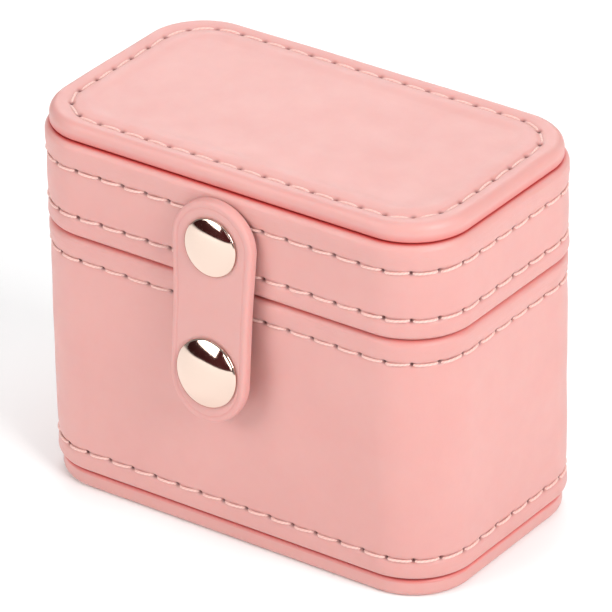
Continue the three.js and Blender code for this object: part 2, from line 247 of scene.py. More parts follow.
def leather(name, pale, deep, roughness):
    f = Finish(
        name,
        Roughness=roughness,
        Specular_IOR_Level=0.45,
        Subsurface_Weight=0.35,
        Subsurface_Radius=(1.0, 0.22, 0.14),
        Subsurface_Scale=0.9 * MM,
    )
    drift = f.fit(f.noise(38.0, 3.0), 0.35, 0.65, 0.0, 1.0)
    mottle = f.fit(f.noise(420.0, 3.0), 0.3, 0.7, 0.0, 0.35)
    skin = f.mix(f.maths("MULTIPLY", f.maths("ADD", drift, mottle), 0.6), pale, deep)
    # Painted shade mixed into the skin: the seams' grooves by the `seam` attribute, the needle holes and the
    # trench's lip by the `hole` attribute.
    skin = f.mix(f.attribute("seam"), skin, SEAM_SHADE_RED)
    skin = f.mix(f.attribute("hole"), skin, HOLE_SHADE_RED)
    cells = f.node("ShaderNodeTexVoronoi", {"Vector": f.place, "Scale": 1900.0}, feature="SMOOTH_F1")
    grain = f.bump(cells.outputs["Distance"], 0.10, 0.06 * MM)
    grain = f.bump(f.noise(900.0, 5.0, 0.6), 0.10, 0.10 * MM, grain)
    stretched = f.node("ShaderNodeMapping", {"Vector": f.place, "Scale": (1.0, 1.0, 9.0)}).outputs["Vector"]
    crease = f.maths("MULTIPLY", f.noise(260.0, 6.0, 0.65, stretched), f.attribute("rim"))
    grain = f.bump(crease, 0.35, 0.30 * MM, grain)
    sheen = f.fit(f.noise(210.0, 4.0), 0.3, 0.7, roughness - 0.04, roughness + 0.06)
    return f.wire(Base_Color=skin, Roughness=sheen, Normal=grain)


pink_leather = leather("pink_leather", (0.633, 0.328, 0.304, 1), (0.603, 0.299, 0.277, 1), 0.42)
strap_leather = leather("strap_leather", (0.612, 0.321, 0.299, 1), (0.588, 0.295, 0.274, 1), 0.42)
print("leather nodes", len(pink_leather.node_tree.nodes))

# %% [markdown]
# ## Thread, velvet, metal and board
# The thread is pale and waxed, and its plies run round it as a slanting wave. The velvet inside catches
# light at grazing angles, which the sheen gives, over a fine uneven pile. The caps are mirror-polished,
# with hardly any roughness, and the boards are rough pressed fibre.

# %% The other finishes
PLY_TURNS = 3.2  # turns of the plies in one stitch


def make_thread():
    f = Finish("sewing_thread", Roughness=0.55, Sheen_Weight=0.25, Sheen_Roughness=0.4)
    strand = f.node("ShaderNodeAttribute", attribute_name="strand").outputs["Vector"]
    split = f.node("ShaderNodeSeparateXYZ", {0: strand})
    turn = f.maths("ADD", f.maths("MULTIPLY", split.outputs[0], PLY_TURNS), split.outputs[1])
    ply = f.maths("ABSOLUTE", f.maths("SINE", f.maths("MULTIPLY", turn, math.tau)))
    # The colour is darker where the plies meet: painted shade in the grooves between them.
    colour = f.mix(f.fit(ply, 0.0, 1.0, 0.0, 1.0), (0.72, 0.42, 0.375, 1), (0.80, 0.51, 0.46, 1))
    fibre = f.bump(f.noise(5200.0, 3.0), 0.25, 0.05 * MM)
    return f.wire(Base_Color=colour, Normal=f.bump(ply, 0.5, 0.07 * MM, fibre))


def make_velvet(name, pale, deep):
    f = Finish(
        name,
        Roughness=0.9,
        Specular_IOR_Level=0.15,
        Sheen_Weight=0.8,
        Sheen_Roughness=0.35,
        Sheen_Tint=(1.0, 0.86, 0.82, 1),
    )
    nap = f.noise(60.0, 3.0)
    pile = f.noise(2600.0, 4.0, 0.7)
    blend = f.maths("MULTIPLY", f.maths("ADD", f.fit(nap, 0.35, 0.65, 0.0, 1.0), pile), 0.5)
    return f.wire(Base_Color=f.mix(blend, pale, deep), Normal=f.bump(pile, 0.6, 0.25 * MM))


def make_polished(name, colour, roughness):
    f = Finish(name, Metallic=1.0, Base_Color=colour, Roughness=roughness, Specular_IOR_Level=0.5)
    lap = f.bump(f.noise(160.0, 2.0), 0.03, 0.2 * MM)
    haze = f.fit(f.noise(700.0, 5.0), 0.3, 0.75, roughness, roughness + 0.05)
    return f.wire(Roughness=haze, Normal=lap)


def make_board():
    f = Finish("backing_board", Roughness=0.92)
    fibre = f.noise(1500.0, 6.0, 0.7)
    colour = f.mix(f.fit(fibre, 0.35, 0.65, 0.0, 1.0), (0.30, 0.25, 0.20, 1), (0.47, 0.40, 0.33, 1))
    return f.wire(Base_Color=colour, Normal=f.bump(fibre, 0.5, 0.2 * MM))


sewing_thread = make_thread()
blush_velvet = make_velvet("blush_velvet", (0.80, 0.53, 0.47, 1), (0.66, 0.38, 0.335, 1))
rose_gold = make_polished("rose_gold", (0.74, 0.580, 0.495, 1), 0.05)
nickelled_steel = make_polished("nickelled_steel", (0.62, 0.60, 0.57, 1), 0.22)
backing_board = make_board()
print("finishes", [m.name for m in bpy.data.materials])


# %% [markdown]
# ## Shells made of rings
# Bands and panels are both stacks of closed rings. Each ring is the plan outline, moved out or in by some
# distance and lifted to some height, so one function makes them all from a list of (out, height) pairs.
# The outline has a column of vertices at every twelfth of a stitch, so that each needle hole falls
# on a vertex.

# %% Outlines
SIDE_STITCHES = 51
COLUMNS_PER_STITCH = 12


def rounded_outline(half_x, half_y, radius, count, start=0.0):
    """Even points anticlockwise along a rounded rectangle, their outward normals, and its length."""
    straight_x, straight_y = half_x - radius, half_y - radius
    turn = radius * math.pi / 2
    lengths = [straight_y, turn, 2 * straight_x, turn, 2 * straight_y, turn, 2 * straight_x, turn, straight_y]
    total = sum(lengths)
    centres = {1: (1, 1), 3: (-1, 1), 5: (-1, -1), 7: (1, -1)}
    starts = {0: (half_x, 0), 2: (straight_x, half_y), 4: (-half_x, straight_y)}
    starts.update({6: (-straight_x, -half_y), 8: (half_x, -straight_y)})
    headings = {0: (0, 1), 2: (-1, 0), 4: (0, -1), 6: (1, 0), 8: (0, 1)}
    points, normals = [], []
    for k in range(count):
        s = (start + k * total / count) % total
        leg = 0
        while s > lengths[leg] and leg < 8:
            s -= lengths[leg]
            leg += 1
        if leg in centres:
            sx, sy = centres[leg]
            angle = (leg - 1) / 2 * math.pi / 2 + s / radius
            normal = (math.cos(angle), math.sin(angle))
            points.append((sx * straight_x + radius * normal[0], sy * straight_y + radius * normal[1]))
        else:
            heading = headings[leg]
            normal = (heading[1], -heading[0])
            points.append((starts[leg][0] + heading[0] * s, starts[leg][1] + heading[1] * s))
        normals.append(normal)
    return np.array(points), np.array(normals), total


plan, plan_normals, plan_length = rounded_outline(
    HALF_WIDTH, HALF_DEPTH, CORNER, SIDE_STITCHES * COLUMNS_PER_STITCH
)
print("plan is", round(plan_length, 1), "mm round, a stitch every", round(plan_length / SIDE_STITCHES, 2))


# %% [markdown]
# Every made piece is a list of points, joined ring to ring by quads. A finished piece then takes the place
# of its node in the frame: it says which node it replaces, which finish slot it has and which body
# carries it.

# %% Mesh makers
MERGE = 0.002  # points nearer than this become one, where a shell closes on a line


def finish_mesh(name, points, faces, material, attributes=None, merge=0.0):
    """A smooth mesh object from points in millimetres, its normals turned outwards."""
    mesh = bpy.data.meshes.new(name)
    mesh.from_pydata((np.asarray(points) * MM).tolist(), [], faces)
    for key, values in (attributes or {}).items():
        mesh.attributes.new(key, "FLOAT", "POINT").data.foreach_set("value", np.asarray(values, np.float32))
    bm = bmesh.new()
    bm.from_mesh(mesh)
    if merge:
        bmesh.ops.remove_doubles(bm, verts=bm.verts, dist=merge * MM)
    bmesh.ops.recalc_face_normals(bm, faces=bm.faces)
    bm.to_mesh(mesh)
    bm.free()
    mesh.polygons.foreach_set("use_smooth", [True] * len(mesh.polygons))
    mesh.materials.append(material)
    piece = bpy.data.objects.new(name, mesh)
    bpy.context.scene.collection.objects.link(piece)
    return piece


def stand_in(piece, node, body):
    """Puts a piece in its node's place, on the body that carries it."""
    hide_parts(node)
    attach(piece, body)


def ring_faces(rings, columns, closed):
    """Quads between neighbouring rings, and between the last and the first where the stack is closed."""
    faces = []
    for j in range(rings if closed else rings - 1):
        low, high = j * columns, (j + 1) % rings * columns
        for i in range(columns):
            k = (i + 1) % columns
            faces.append((low + i, low + k, high + k, high + i))
    return faces


def arc(out, height, radius, start, stop, steps=6):
    """Points round a part of a circle whose centre is at (out, height), between two angles in degrees."""
    angles = np.radians(np.linspace(start, stop, steps + 1))
    return [(out + radius * math.cos(a), height + radius * math.sin(a)) for a in angles]


def graded(low, high, coarse, fine, rows, reach=0.9):
    """Heights from low to high, coarse in the open and fine within `reach` of each row of sewing."""
    bounds = [low, *(row + side for row in sorted(rows) for side in (-reach, reach)), high]
    heights = []
    for k, (start, stop) in enumerate(zip(bounds, bounds[1:])):
        step = fine if k % 2 else coarse
        heights.extend(np.linspace(start, stop, max(2, round((stop - start) / step) + 1))[:-1])
    return np.array([*heights, high])


# %% [markdown]
# ## What sewing does to leather
# A tight row of stitches pulls the skin down into a shallow trench, pinches it at each needle hole and
# leaves it slightly full between the row and the seam. These functions say how far the skin sinks or
# stands at any point, and the shells below move their vertices by that.

# %% Relief of the skin
TRENCH_DEPTH = 0.20
TRENCH_WIDTH = 0.42
PINCH_DEPTH = 0.14
PINCH_WIDTH = 2.2
HOLE_DEPTH = 0.42
HOLE_WIDTH = 0.36
HOLE_SHADE_WIDTH = 0.33
HOLE_ABOVE = 0.14  # the needle goes in a little above the thread's line
FULLNESS = 0.16
CREASED_WIDTH = 2.6  # of the skin between a row and its seam, which the sewing creases
WAVE = 0.05  # of the skin over the boards
WAVES = 7


def nearest(points, targets):
    """Distance from each point to the nearest target."""
    best = np.full(len(points), np.inf)
    for target in targets:
        best = np.minimum(best, np.linalg.norm(points - target, axis=1))
    return best


def unevenness(points, seed, size=WAVE, wavelength=17.0):
    """A slow, gentle wave over the skin, from a few sines with seeded directions."""
    rng = np.random.default_rng(seed)
    total = np.zeros(len(points))
    for _ in range(WAVES):
        direction = rng.normal(size=3)
        direction *= rng.uniform(0.6, 1.7) / np.linalg.norm(direction) / wavelength * math.tau
        total += np.sin(points @ direction + rng.uniform(0, math.tau))
    return size * total / 2.6


def bell(distance, width):
    """1 where the distance is 0, falling smoothly to about a third at the width."""
    return np.exp(-((distance / width) ** 2))


# %% [markdown]
# ## The leather bands
# Each side is one strip of leather, wrapped round the board, folded over the rim and stitched. The closed
# profile goes up the outside, turns over the rim with a soft round edge, and comes back behind the skin.
# A hairline butt seam at the middle of the back is where the strip's ends meet.

# %% The section of a band
SKIN = 0.8
EDGE_ROUND = 1.0
FOLD_SKIN = 0.35
FOLD_BEND = 0.5
BASE_FOLD = -3.35  # how far the base's leather turns in over the rim
LID_FOLD = -2.95  # how far the lid's leather turns in under its rim
SHOULDER_FOLD = -2.6  # how far the lid's leather turns in under the top panel
TUCK = 0.1
OPEN_STEP, ROW_STEP = 1.2, 0.12  # between the rings, away from the sewing and near it


def band_profile(face, foot, rim, rows, fold_up, fold_to):
    """The closed section of a side band, and how many of its points lie on the outside."""
    outside = arc(face - EDGE_ROUND, foot + EDGE_ROUND, EDGE_ROUND, -90, 0)
    middle = graded(foot + EDGE_ROUND, rim - EDGE_ROUND, OPEN_STEP, ROW_STEP, rows)
    outside += [(face, z) for z in middle[1:-1]]
    outside += arc(face - EDGE_ROUND, rim - EDGE_ROUND, EDGE_ROUND, 0, 90)
    back = face - SKIN
    if fold_up:
        under = rim - FOLD_SKIN
        inside = [(fold_to, rim), (fold_to, under), (back - FOLD_BEND, under), (back, under - FOLD_BEND)]
        inside += [(back, foot + TUCK)]
    else:
        over = foot + FOLD_SKIN
        inside = [(SHOULDER_FOLD, rim), (SHOULDER_FOLD, rim - TUCK), (back, rim - TUCK)]
        inside += [(back, over + FOLD_BEND), (back - FOLD_BEND, over), (fold_to, over), (fold_to, foot)]
    return outside + inside, len(outside)


def hole_places(face, heights):
    """The needle holes of the side rows, at every stitch end."""
    ends = plan[::COLUMNS_PER_STITCH] + face * plan_normals[::COLUMNS_PER_STITCH]
    return np.vstack([np.column_stack([ends, np.full(len(ends), z + HOLE_ABOVE)]) for z in heights])


def seams_beside(rows, foot, rim):
    """The seam that each row of sewing runs beside."""
    return [foot if row - foot < rim - row else rim for row in rows]


# %% [markdown]
# The outside of the section is moved by the sewing's relief, and three attributes are painted on it: `seam`
# where the seams' grooves get painted shade, `hole` where no light gets in and the holes get painted shade,
# and `rim` where the sewing has creased the skin. The two rims that part when the lid opens have only a thin
# line of the seam's painted shade, because light still reaches between them.

# %% Bands
JOINT_DEPTH = 0.16
JOINT_WIDTH = 0.30
JOINT_SHADE = 0.30
LIP_ABOVE = 0.34  # the trench's upper lip, whose shade lies on the start of each stitch
LIP_WIDTH = 0.13
LIP_SHADE = 0.17
SIDE_HOLE_SHADE = 1.5
# These two place the seam's painted shade: how far in from the face it starts, and where it is whole.
SEAM_START, SEAM_FULL = 0.4, 0.9  # how far in from the face the seam's colour starts and is whole
OPENING_IN = 0.66
OPENING_WIDTH = 0.36
OPENING_SHADE = 0.55


def leather_band(name, face, foot, rim, rows, fold_up, fold_to, seed):
    """A side band. fold_up says which rim is folded inwards as far as fold_to."""
    rows = [ROW_HEIGHTS[row] for row in rows]
    profile, outer = band_profile(face, foot, rim, rows, fold_up, fold_to)
    out, height = np.repeat(np.array(profile), len(plan), axis=0).T
    on_face = np.repeat(np.arange(len(profile)) < outer, len(plan))
    normal = np.tile(plan_normals, (len(profile), 1))
    points = np.column_stack([np.tile(plan, (len(profile), 1)) + out[:, None] * normal, height])
    near_hole = nearest(points, hole_places(face, rows))
    phase = np.tile(np.arange(len(plan)) % COLUMNS_PER_STITCH / COLUMNS_PER_STITCH, len(profile))
    relief = -HOLE_DEPTH * bell(near_hole, HOLE_WIDTH)
    creased, lip = np.zeros(len(points)), np.zeros(len(points))
    for row, seam in zip(rows, seams_beside(rows, foot, rim)):
        above = height - row
        relief -= TRENCH_DEPTH * bell(above, TRENCH_WIDTH) + PINCH_DEPTH * bell(above, PINCH_WIDTH)
        relief += FULLNESS * np.sin(math.pi * np.clip(above / (seam - row), 0, 1))
        lip += LIP_SHADE * bell(above - LIP_ABOVE, LIP_WIDTH) * (1 - phase)
        creased = np.maximum(creased, bell(height - (row + seam) / 2, CREASED_WIDTH))
    relief += unevenness(points, seed)
    joint_line = bell(points[:, 0], JOINT_WIDTH) * (points[:, 1] > 0)
    relief -= JOINT_DEPTH * joint_line
    fade = np.clip(np.minimum(height - foot, rim - height) / EDGE_ROUND, 0, 1)
    points[:, :2] += (relief * fade * on_face)[:, None] * normal
    depth = face - out
    closed = np.maximum(np.clip((depth - SEAM_START) / (SEAM_FULL - SEAM_START), 0, 1), ~on_face)
    opening = height > (foot + rim) / 2 if fold_up else height < (foot + rim) / 2
    # Painted shade in the seams: full in the closed seams, and only a thin line on the rims that part.
    seam_shade_mask = np.where(
        opening, OPENING_SHADE * bell(depth - OPENING_IN, OPENING_WIDTH) * on_face, closed
    )
    attributes = {
        "seam": np.maximum(seam_shade_mask, JOINT_SHADE * joint_line * on_face),
        "hole": np.clip(SIDE_HOLE_SHADE * bell(near_hole, HOLE_SHADE_WIDTH) + lip, 0, 1) * on_face,
        "rim": creased * on_face,
    }
    faces = ring_faces(len(profile), len(plan), True)
    return finish_mesh(name, points, faces, pink_leather, attributes)


base_rows, lid_rows = ["base_thread_lower", "base_thread_upper"], ["lid_thread_lower", "lid_thread_upper"]
base_leather = leather_band(
    "base_side_skin", 0.0, base_low[2], base_high[2], base_rows, True, BASE_FOLD, seed=1
)
stand_in(base_leather, "base_side_leather", "base")
lid_leather = leather_band(
    "lid_side_skin", LID_OUT, lid_low[2], lid_high[2], lid_rows, False, LID_FOLD, seed=2
)
stand_in(lid_leather, "lid_side_leather", "lid")
print("bands", len(base_leather.data.polygons), len(lid_leather.data.polygons), "faces")


# %% [markdown]
# ## The top panel and the sole
# A panel is a board with leather drawn over it: flat above and below, with soft round edges. Its rings run
# in from the edge and then close on a short line down the middle. The top one carries a row of
# sewing whose corners are wider than the panel's own, so its dip is found from the distance to that row.

# %% Panel shells
def panel_rings(edge, low, high, round_low, round_high, insets):
    """(out, height) for each ring, from below to above, of a panel that reaches `edge` out of the plan."""
    rings = [(edge - 4, low), (edge - 2, low)]
    rings += arc(edge - round_low, low + round_low, round_low, -90, 0)
    rings += arc(edge - round_high, high - round_high, round_high, 0, 90)
    return rings + [(edge - inset, high) for inset in insets]


def make_panel(name, rings, middle_steps, relief):
    """Stacks the rings, then closes both faces on the panel's middle line."""
    columns = len(plan)
    inner = HALF_WIDTH - HALF_DEPTH
    middle = np.column_stack([np.clip(plan[:, 0], -inner, inner), np.zeros(columns)])
    stack = [np.column_stack([plan + out * plan_normals, np.full(columns, z)]) for out, z in rings]
    closing = []
    for t in np.linspace(0, 1, middle_steps + 1)[1:]:
        closing.append(stack[-1] * (1 - t) + np.column_stack([middle, stack[-1][:, 2]]) * t)
    opening = np.column_stack([middle, stack[0][:, 2]])
    points, attributes = relief(np.vstack([opening, *stack, *closing]))
    faces = ring_faces(len(points) // columns, columns, False)
    return finish_mesh(name, points, faces, pink_leather, attributes, merge=MERGE)


# %% [markdown]
# The top panel's sewing sinks the skin in a line, and the leather inside that line stands up a little
# because it is drawn tight over a soft board. The panel is longer than the plan, so it is stretched to its
# length first.

# %% Top panel
PANEL_SEAM_SHADE = 0.9
PANEL_SEAM_FADE = 0.7
TOP_ROW_CORNER = 8.3
TOP_STITCHES = 45
TOP_THREAD_HALF = 0.28
TOP_ROUND_LOW, TOP_ROUND_HIGH = 0.35, 1.3
CROWN = 0.22
TOP_HOLE_SHADE = 1.2
TOP_EDGE = top_high[1] - HALF_DEPTH
top_row_half = span("top_thread")[1][:2] - TOP_THREAD_HALF


def row_distance(points):
    """Distance in plan from each point to the top panel's row of sewing."""
    q = np.abs(points[:, :2]) - (top_row_half - TOP_ROW_CORNER)
    outside = np.linalg.norm(np.maximum(q, 0), axis=1)
    return np.abs(outside + np.minimum(q.max(axis=1), 0) - TOP_ROW_CORNER)


def top_relief(points):
    points[:, 0] *= top_high[0] / (HALF_WIDTH + TOP_EDGE)
    holes, _, _ = rounded_outline(*top_row_half, TOP_ROW_CORNER, TOP_STITCHES)
    near_hole = nearest(points[:, :2], holes)
    beside = row_distance(points)
    upper = np.clip((points[:, 2] - (top_high[2] - 1.0)) / 0.8, 0, 1)
    sink = TRENCH_DEPTH * bell(beside, TRENCH_WIDTH) + HOLE_DEPTH * bell(near_hole, HOLE_WIDTH)
    crown = CROWN * bell(beside - 2.2, 1.5)
    points[:, 2] += upper * (crown - sink + unevenness(points, 3, wavelength=24.0))
    # Painted shade at the panel's lower edge, where it meets the lid's leather in a seam.
    low_part = np.clip((top_low[2] + PANEL_SEAM_FADE - points[:, 2]) / PANEL_SEAM_FADE, 0, 1)
    attributes = {
        "seam": PANEL_SEAM_SHADE * low_part,
        "hole": np.clip(TOP_HOLE_SHADE * bell(near_hole, HOLE_SHADE_WIDTH), 0, 1) * upper,
        "rim": bell(beside - 1.5, 2.4) * upper,
    }
    return points, attributes


row_inset = top_high[1] - top_row_half[1]
near_row = np.arange(row_inset - 1.6, row_inset + 3.2, 0.17)
top_insets = [1.5, 1.8, *near_row[near_row > 1.9], 6.9, 7.4]
top_rings = panel_rings(TOP_EDGE, top_low[2], top_high[2], TOP_ROUND_LOW, TOP_ROUND_HIGH, top_insets)
top_panel = make_panel("top_skin", top_rings, 9, top_relief)
stand_in(top_panel, "top_panel", "lid")
print("top", len(top_panel.data.polygons), "faces")


# %% [markdown]
# The sole is plainer, with no sewing. It is its upper edge that meets leather in a seam, so there the seam's
# painted shade fades in over the last bit of its height.

# %% Sole
SOLE_ROUND_LOW, SOLE_ROUND_HIGH = 1.2, 0.7
SOLE_EDGE = sole_high[0] - HALF_WIDTH


def sole_relief(points):
    high_part = np.clip((points[:, 2] - sole_high[2] + PANEL_SEAM_FADE) / PANEL_SEAM_FADE, 0, 1)
    return points, {"seam": PANEL_SEAM_SHADE * high_part, "hole": 0 * high_part, "rim": 0 * high_part}


sole_rings = panel_rings(
    SOLE_EDGE, sole_low[2], sole_high[2], SOLE_ROUND_LOW, SOLE_ROUND_HIGH, [1.5, 3.0]
)
sole_panel = make_panel("sole_skin", sole_rings, 3, sole_relief)
stand_in(sole_panel, "sole_panel", "base")
print("sole", len(sole_panel.data.polygons), "faces")


# %% [markdown]
# ## Sewing
# A row of stitches repeats along a path, so Geometry Nodes makes it. The row is a set of points, one at the
# middle of each stitch, that carry the direction of the row and of the leather's face. On each point the
# tree sets a short arc of thread that dives into the leather at both ends, with a little seeded play in
# its slant.

# %% Stitch tree
SLANT_PLAY = 0.05


def stitch_tree(material):
    tree = bpy.data.node_groups.new("stitch_row", "GeometryNodeTree")
    face = tree.interface
    face.new_socket("Row", in_out="INPUT", socket_type="NodeSocketGeometry")
    face.new_socket("Sewing", in_out="OUTPUT", socket_type="NodeSocketGeometry")
    for label in ("Stitch length", "Thread radius", "Rise", "Dive", "Slant"):
        face.new_socket(label, in_out="INPUT", socket_type="NodeSocketFloat")
    face.new_socket("Seed", in_out="INPUT", socket_type="NodeSocketInt")

    def node(kind, inputs=None, **settings):
        made = tree.nodes.new(kind)
        for key, value in settings.items():
            setattr(made, key, value)
        for key, value in (inputs or {}).items():
            if isinstance(value, bpy.types.NodeSocket):
                tree.links.new(value, made.inputs[key])
            else:
                made.inputs[key].default_value = value
        return made

    entry = node("NodeGroupInput")
    length, radius = entry.outputs["Stitch length"], entry.outputs["Thread radius"]

    def point_at(share, height):
        along = node("ShaderNodeMath", {0: length, 1: share}, operation="MULTIPLY").outputs[0]
        return node("ShaderNodeCombineXYZ", {"X": along, "Z": height}).outputs[0]

    bottom = node("ShaderNodeMath", {0: entry.outputs["Dive"], 1: -1.0}, operation="MULTIPLY").outputs[0]
    thread = node(
        "GeometryNodeCurvePrimitiveBezierSegment",
        {
            "Resolution": 8,
            "Start": point_at(-0.5, bottom),
            "Start Handle": point_at(-0.47, entry.outputs["Rise"]),
            "End Handle": point_at(0.47, entry.outputs["Rise"]),
            "End": point_at(0.5, bottom),
        },
    )
    ring = node("GeometryNodeCurvePrimitiveCircle", {"Resolution": 8, "Radius": radius})
    along = node("GeometryNodeCaptureAttribute", {"Geometry": thread.outputs["Curve"]})
    along.capture_items.new("FLOAT", "Along")
    tree.links.new(node("GeometryNodeSplineParameter").outputs["Factor"], along.inputs["Along"])
    about = node("GeometryNodeCaptureAttribute", {"Geometry": ring.outputs["Curve"]})
    about.capture_items.new("FLOAT", "About")
    tree.links.new(node("GeometryNodeSplineParameter").outputs["Factor"], about.inputs["About"])
    body = node(
        "GeometryNodeCurveToMesh",
        {"Curve": along.outputs["Geometry"], "Profile Curve": about.outputs["Geometry"], "Fill Caps": True},
    )
    strand = node("ShaderNodeCombineXYZ", {"X": along.outputs["Along"], "Y": about.outputs["About"]})
    named = node(
        "GeometryNodeStoreNamedAttribute",
        {"Geometry": body.outputs["Mesh"], "Name": "strand", "Value": strand.outputs[0]},
        data_type="FLOAT_VECTOR",
    )
    smooth = node("GeometryNodeSetShadeSmooth", {"Geometry": named.outputs["Geometry"]})

    def row_direction(name):
        return node("GeometryNodeInputNamedAttribute", {"Name": name}, data_type="FLOAT_VECTOR").outputs[0]

    turned = node(
        "FunctionNodeAxesToRotation",
        {"Primary Axis": row_direction("face_out"), "Secondary Axis": row_direction("along_row")},
        primary_axis="Z",
        secondary_axis="X",
    )
    play = node(
        "FunctionNodeRandomValue",
        {"Min": -SLANT_PLAY, "Max": SLANT_PLAY, "Seed": entry.outputs["Seed"]},
        data_type="FLOAT",
    )
    angle = node("ShaderNodeMath", {0: entry.outputs["Slant"], 1: play.outputs["Value"]}, operation="ADD")
    lean = node("ShaderNodeCombineXYZ", {"Z": angle.outputs[0]})
    slanted = node(
        "FunctionNodeRotateRotation",
        {"Rotation": turned.outputs["Rotation"], "Rotate By": lean.outputs[0]},
        rotation_space="LOCAL",
    )
    placed = node(
        "GeometryNodeInstanceOnPoints",
        {
            "Points": entry.outputs["Row"],
            "Instance": smooth.outputs["Geometry"],
            "Rotation": slanted.outputs["Rotation"],
        },
    )
    real = node("GeometryNodeRealizeInstances", {"Geometry": placed.outputs["Instances"]})
    coloured = node("GeometryNodeSetMaterial", {"Geometry": real.outputs["Geometry"], "Material": material})
    tree.links.new(coloured.outputs["Geometry"], node("NodeGroupOutput").inputs["Sewing"])
    return tree


stitches = stitch_tree(sewing_thread)
print("stitch tree has", len(stitches.nodes), "nodes")

# %% [markdown]
# The four side rows follow the plan, and the fifth runs round the top panel. Each row's points are the
# middles of its stitches, so the needle holes of the leather fall between them.

# %% Sew the rows
THREAD_RADIUS = 0.23
HOLE_GAP = 1.0  # bare leather at each needle hole
THREAD_RISE = 0.15
THREAD_DIVE = 0.42
SLANT = math.radians(3.0)
SINK = 0.12  # of the thread's middle line below the leather's face


def socket_id(tree, name):
    return next(i.identifier for i in tree.interface.items_tree if i.name == name and i.in_out == "INPUT")


def sew_row(name, middles, height, outs, normals, pitch, seed):
    """Makes one row of stitches as a plain mesh. The row runs square to its outward normals."""
    centres = np.column_stack([middles, np.full(len(middles), height)])
    alongs = np.column_stack([-normals[:, 1], normals[:, 0], np.zeros(len(middles))])
    mesh = bpy.data.meshes.new(name)
    mesh.from_pydata((centres * MM).tolist(), [], [])
    for key, values in (("face_out", outs), ("along_row", alongs)):
        data = mesh.attributes.new(key, "FLOAT_VECTOR", "POINT").data
        data.foreach_set("vector", np.asarray(values, np.float32).ravel())
    row = bpy.data.objects.new(name, mesh)
    bpy.context.scene.collection.objects.link(row)
    modifier = row.modifiers.new("sewing", "NODES")
    modifier.node_group = stitches
    sizes = {
        "Stitch length": (pitch - HOLE_GAP) * MM,
        "Thread radius": THREAD_RADIUS * MM,
        "Rise": THREAD_RISE * MM,
        "Dive": THREAD_DIVE * MM,
        "Slant": SLANT,
        "Seed": seed,
    }
    for label, value in sizes.items():
        modifier[socket_id(stitches, label)] = value
    depsgraph = bpy.context.evaluated_depsgraph_get()
    sewn = bpy.data.meshes.new_from_object(row.evaluated_get(depsgraph), depsgraph=depsgraph)
    sewn.name = name
    row.modifiers.clear()
    row.data = sewn
    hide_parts(name.removesuffix("_stitches"))
    print(name, len(centres), "stitches,", len(sewn.polygons), "faces")
    return row


def middle_of_row(half_x, half_y, radius, count):
    """Middles of the stitches of a row, their outward normals, and the row's pitch."""
    length = rounded_outline(half_x, half_y, radius, 1)[2]
    points, normals, _ = rounded_outline(half_x, half_y, radius, count, start=length / count / 2)
    return points, normals, length / count


for seed, (row, height) in enumerate(ROW_HEIGHTS.items()):
    body = "lid" if row.startswith("lid") else "base"
    out = (LID_OUT if body == "lid" else 0.0) - SINK
    half_size = (HALF_WIDTH + out, HALF_DEPTH + out)
    middles, normals, pitch = middle_of_row(*half_size, CORNER + out, SIDE_STITCHES)
    outs = np.column_stack([normals, np.zeros(len(normals))])
    sewn_row = sew_row(row + "_stitches", middles, height, outs, normals, pitch, seed)
    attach(sewn_row, body)

middles, normals, pitch = middle_of_row(*top_row_half, TOP_ROW_CORNER, TOP_STITCHES)
outs = np.tile([0.0, 0.0, 1.0], (len(middles), 1))
top_row = sew_row("top_thread_stitches", middles, top_high[2] - SINK, outs, normals, pitch, 9)
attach(top_row, "lid")


# %% [markdown]
# ## The strap
# The strap is a tab of leather with half-round ends. It is riveted flat to the lid and stands off
# the base at its foot, where the press stud holds it. Its cut edge is painted and rubbed round, and an
# edge tool has left a faint line just inside. On the case itself the strap bends below the rivet.

# %% Strap
head_low, head_high = span("strap_head")
flap_low = span("strap_flap")[0]
STRAP_HALF = (head_high[0] - head_low[0]) / 2
STRAP_SKIN = 2.0
STRAP_TOP, STRAP_FOOT = head_high[2], flap_low[2]
LID_FRONT = -HALF_DEPTH - LID_OUT
STANDOFF = LID_FRONT - head_high[1]
STRAP_LEAN = LID_FRONT - flap_low[1] - STRAP_SKIN - STANDOFF
LEAN_POWER = 1.35
STRAP_EDGE = 0.6  # rounding of the painted edge
TOOL_INSET, TOOL_DEPTH = 1.15, 0.07  # of the line that the edge tool leaves
HEAD_WIDER, WAIST_NARROWER = 1.025, 0.07  # shares of the strap's width at its head and lost below it
CAP_DISH = 0.28  # how deep the caps are pressed into the strap
DISH_EDGE = 0.25


def node_middle_z(node):
    low, high = span(node)
    return (low[2] + high[2]) / 2


stud_z = node_middle_z("stud")
rivet_z = node_middle_z("rivet_cap")
rivet_radius = span("rivet_cap")[1][0]
snap_radius = span("snap_cap")[1][0]


def strap_back(z):
    """The y of the strap's back at height z."""
    drop = np.clip((STRAP_TOP - z) / (STRAP_TOP - STRAP_FOOT), 0, 1)
    return LID_FRONT - STANDOFF - STRAP_LEAN * drop**LEAN_POWER


def strap_lean(z):
    return math.atan(strap_back(z + 0.5) - strap_back(z - 0.5))


